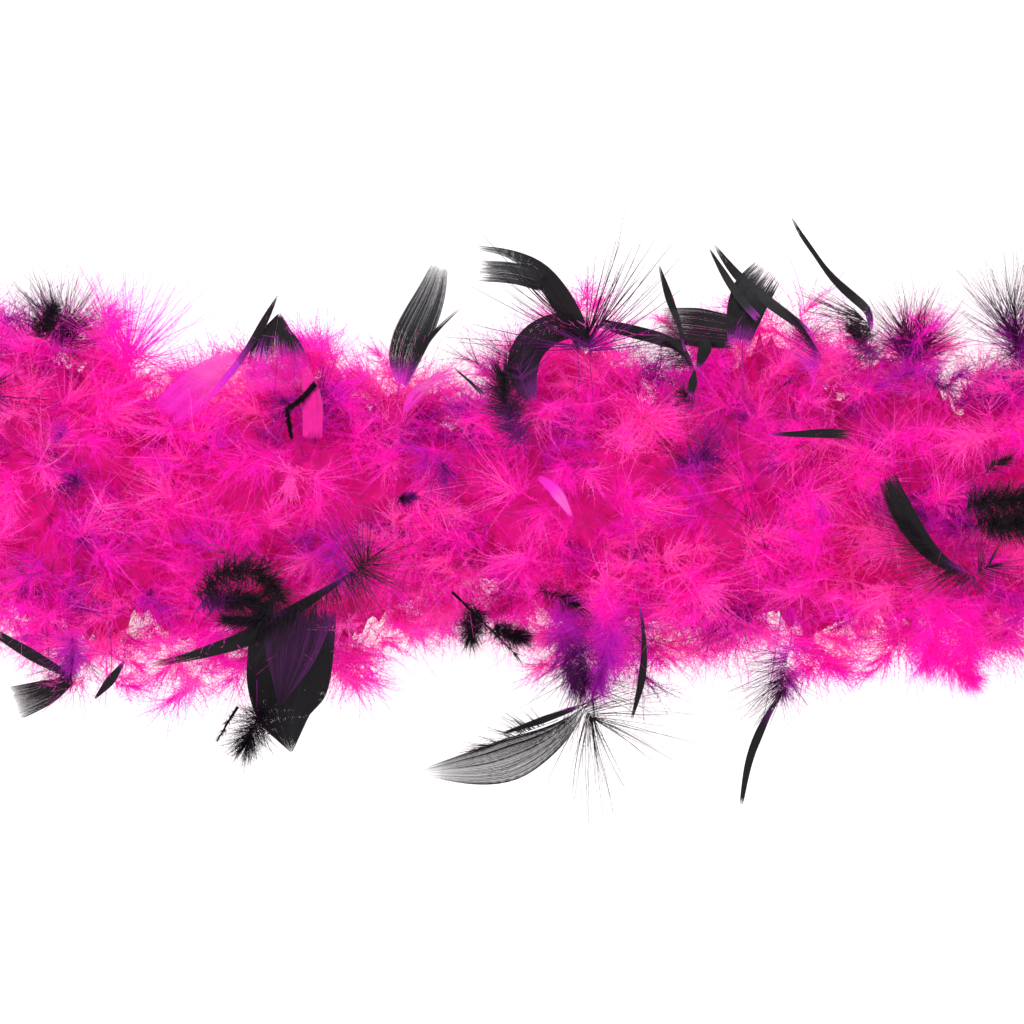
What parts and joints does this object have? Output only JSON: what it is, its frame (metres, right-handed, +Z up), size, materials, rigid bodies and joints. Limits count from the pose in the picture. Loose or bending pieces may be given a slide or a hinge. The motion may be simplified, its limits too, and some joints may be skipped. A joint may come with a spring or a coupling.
{
  "type": "feather boa",
  "caption": "Feather boa of fluffy hot pink down and black-tipped flat feathers bound round a limp core cord, laid straight with its far length put away in a round coil.",
  "frame": {"origin": "on the flat face that the boa lies on, below the middle of its straight stretch", "axes": "X along the straight stretch towards the coil, Y across it on the level, Z up"},
  "size_m": [0.9323, 0.4348, 0.1713],
  "materials": {
    "pink_down": "soft fibrous down",
    "black_down": "wispy down, black with grey ends",
    "black_feather": "satin feather vane",
    "core_cord": "matte twisted cotton",
    "binding_thread": "matte thread"
  },
  "bodies": {
    "root": {"big_black_flat_feather": "black_feather", "big_grey_arc_feather": "black_feather", "binding_thread_coil": "binding_thread", "binding_thread_straight": "binding_thread", "black_blade_on_top": "black_feather", "black_corner_feather": "black_feather", "black_down_tail_lower": "black_down", "broad_black_feather_on_top": "black_feather", "coil_black_feather_front": "black_feather", "coil_black_feather_rear": "black_feather", "coil_black_feather_rear_right": "black_feather", "coil_black_feather_right": "black_feather", "coil_black_feather_upper_front": "black_feather", "coil_black_feather_upper_rear": "black_feather", "core_cord": "core_cord", "curled_black_feather": "black_feather", "dark_down_clump_lower": "black_down", "down_clump_01": "pink_down", "down_clump_02": "pink_down", "down_clump_03": "pink_down", "down_clump_04": "pink_down", "down_clump_05": "pink_down", "down_clump_06": "pink_down", "down_clump_07": "pink_down", "down_clump_08": "pink_down", "down_clump_09": "pink_down", "down_clump_10": "pink_down", "down_clump_11": "pink_down", "down_clump_12": "pink_down", "down_clump_13": "pink_down", "down_clump_14": "pink_down", "down_clump_15": "pink_down", "down_clump_16": "pink_down", "frayed_black_feather": "black_feather", "grey_down_plume_far_right": "black_down", "grey_down_plume_left": "black_down", "grey_down_plume_middle": "black_down", "grey_down_plume_right": "black_down", "grey_square_feather": "black_feather", "grey_vane_lower_left": "black_feather", "hanging_black_sprig": "black_feather", "high_black_arc_feather": "black_feather", "left_end_knot": "core_cord", "left_end_whipping": "binding_thread", "long_black_blade_lower": "black_feather", "long_black_feather_lower": "black_feather", "low_black_arc_feather": "black_feather", "pink_down_clump_lower": "pink_down", "pink_down_plume_left": "pink_down", "pink_fan_cut_feather": "pink_down", "pink_flat_feather_left": "pink_down", "right_end_knot": "core_cord", "right_end_whipping": "binding_thread", "rolled_black_feather": "black_feather", "short_black_blade_lower_left": "black_feather", "shouldered_black_feather": "black_feather", "small_black_down_feather": "black_down", "tall_black_spike_feather": "black_feather", "tall_charcoal_feather": "black_feather", "thin_black_blade_upper": "black_feather"}
  },
  "joints": []
}
